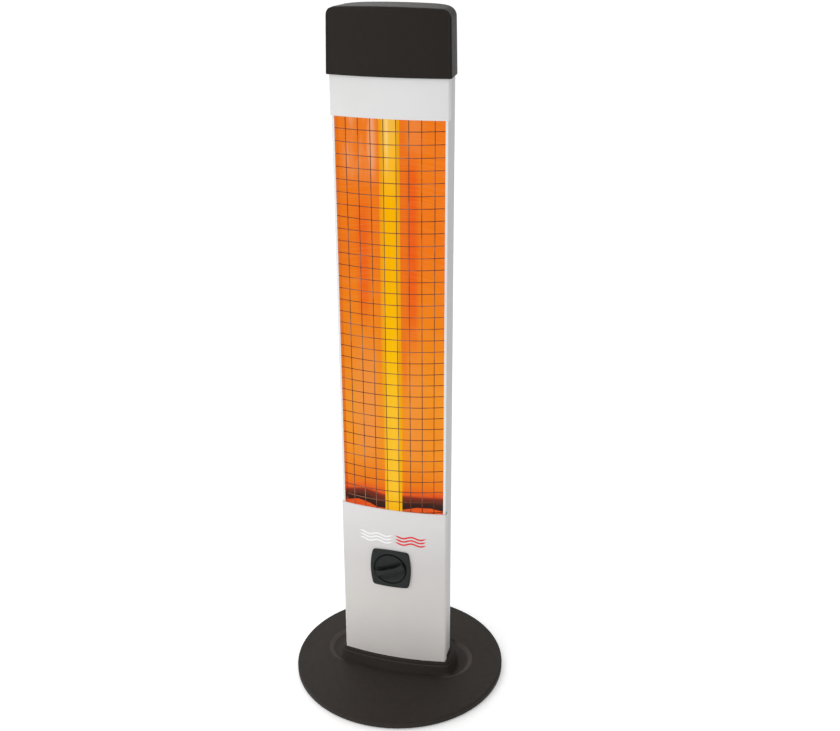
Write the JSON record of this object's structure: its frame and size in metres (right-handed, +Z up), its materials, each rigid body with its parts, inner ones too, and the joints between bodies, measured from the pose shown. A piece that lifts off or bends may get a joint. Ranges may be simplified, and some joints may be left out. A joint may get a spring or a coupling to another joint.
{
  "type": "outdoor infrared tower heater",
  "caption": "Slim upright infrared heater: round weighted base, bowed silver column, wire guard over a twin quartz lamp and reflector, rotary power knob and black cap.",
  "frame": {"origin": "centre of the base's footprint, on the floor", "axes": "+Z up along the column, -Y out of the front where the knob and the lamp window are, +X to the right seen from the front"},
  "size_m": [0.29, 0.29, 0.902],
  "materials": {
    "black_plastic": "fine matt moulded grain, warm black",
    "knob_plastic": "fine matt moulded grain, charcoal",
    "silver_paint": "smooth silver metallic paint",
    "anodised_aluminium": "satin anodised extrusion",
    "zinc_steel": "zinc plated sheet",
    "reflector_sheet": "bright rolled aluminium, lit orange by the lamp",
    "guard_wire": "darkened steel wire",
    "quartz": "clear fused quartz, glowing amber",
    "filament": "bright hot element",
    "lamp_ceramic": "unglazed steatite",
    "foot_rubber": "moulded rubber",
    "screw_steel": "zinc plated steel",
    "moulded_cream": "moulded thermoset",
    "bakelite": "moulded phenolic",
    "plunger_plastic": "natural acetal",
    "lead_cream": "glass braid sleeve",
    "lead_red": "silicone insulation",
    "lead_brown": "silicone insulation",
    "lead_blue": "silicone insulation",
    "lead_green": "silicone insulation"
  },
  "bodies": {
    "heater": {"ballast_plate": "zinc_steel", "base_cover": "black_plastic", "base_foot_1": "foot_rubber", "base_foot_2": "foot_rubber", "base_foot_3": "foot_rubber", "base_foot_4": "foot_rubber", "base_screw_1": "screw_steel", "base_screw_2": "screw_steel", "base_screw_3": "screw_steel", "base_screw_4": "screw_steel", "bracket_screw_lower": "screw_steel", "bracket_screw_upper": "screw_steel", "cap_screw_left": "screw_steel", "cap_screw_right": "screw_steel", "column_bracket": "zinc_steel", "column_housing": "anodised_aluminium", "column_screw_1": "screw_steel", "column_screw_2": "screw_steel", "column_screw_3": "screw_steel", "column_screw_4": "screw_steel", "cord_gland": "knob_plastic", "cover_screw_1": "screw_steel", "cover_screw_2": "screw_steel", "cover_screw_3": "screw_steel", "cover_screw_4": "screw_steel", "cutout_lead": "lead_red", "earth_lead": "lead_green", "earth_screw": "screw_steel", "gland_nut": "knob_plastic", "guard_mesh": "guard_wire", "knob_bezel": "knob_plastic", "lamp_bracket_lower": "zinc_steel", "lamp_bracket_upper": "zinc_steel", "lamp_end_lower": "lamp_ceramic", "lamp_end_upper": "lamp_ceramic", "lamp_filament_1": "filament", "lamp_filament_2": "filament", "lamp_lead_lower": "lead_cream", "lamp_lead_upper": "lead_cream", "lamp_tube": "quartz", "lower_front_panel": "silver_paint", "power_regulator": "moulded_cream", "reflector": "reflector_sheet", "reflector_end_lower": "reflector_sheet", "reflector_end_upper": "reflector_sheet", "supply_lead": "lead_brown", "switch_screw_1": "screw_steel", "switch_screw_2": "screw_steel", "terminal_block": "moulded_cream", "terminal_screw": "screw_steel", "thermal_cutout": "bakelite", "tip_spring": "screw_steel", "tip_switch_body": "black_plastic", "tip_switch_lead": "lead_blue", "top_cap": "black_plastic", "upper_front_panel": "silver_paint"},
    "knob": {"control_knob": "knob_plastic", "switch_shaft": "zinc_steel"},
    "plunger": {"tip_plunger": "plunger_plastic"}
  },
  "joints": [
    {"name": "power_knob_turn", "type": "hinge", "parent": "heater", "child": "knob", "pos_m": [-0.0025, -0.0308, 0.174], "axis": [0, 1, 0], "range_deg": [-68, 202]},
    {"name": "tip_plunger_slide", "type": "slide", "parent": "heater", "child": "plunger", "axis": [0, 0, 1], "range_m": [-0.006, 0], "stiffness_N_per_m": 60, "springref_m": -0.012, "deforming": ["tip_spring"]}
  ]
}
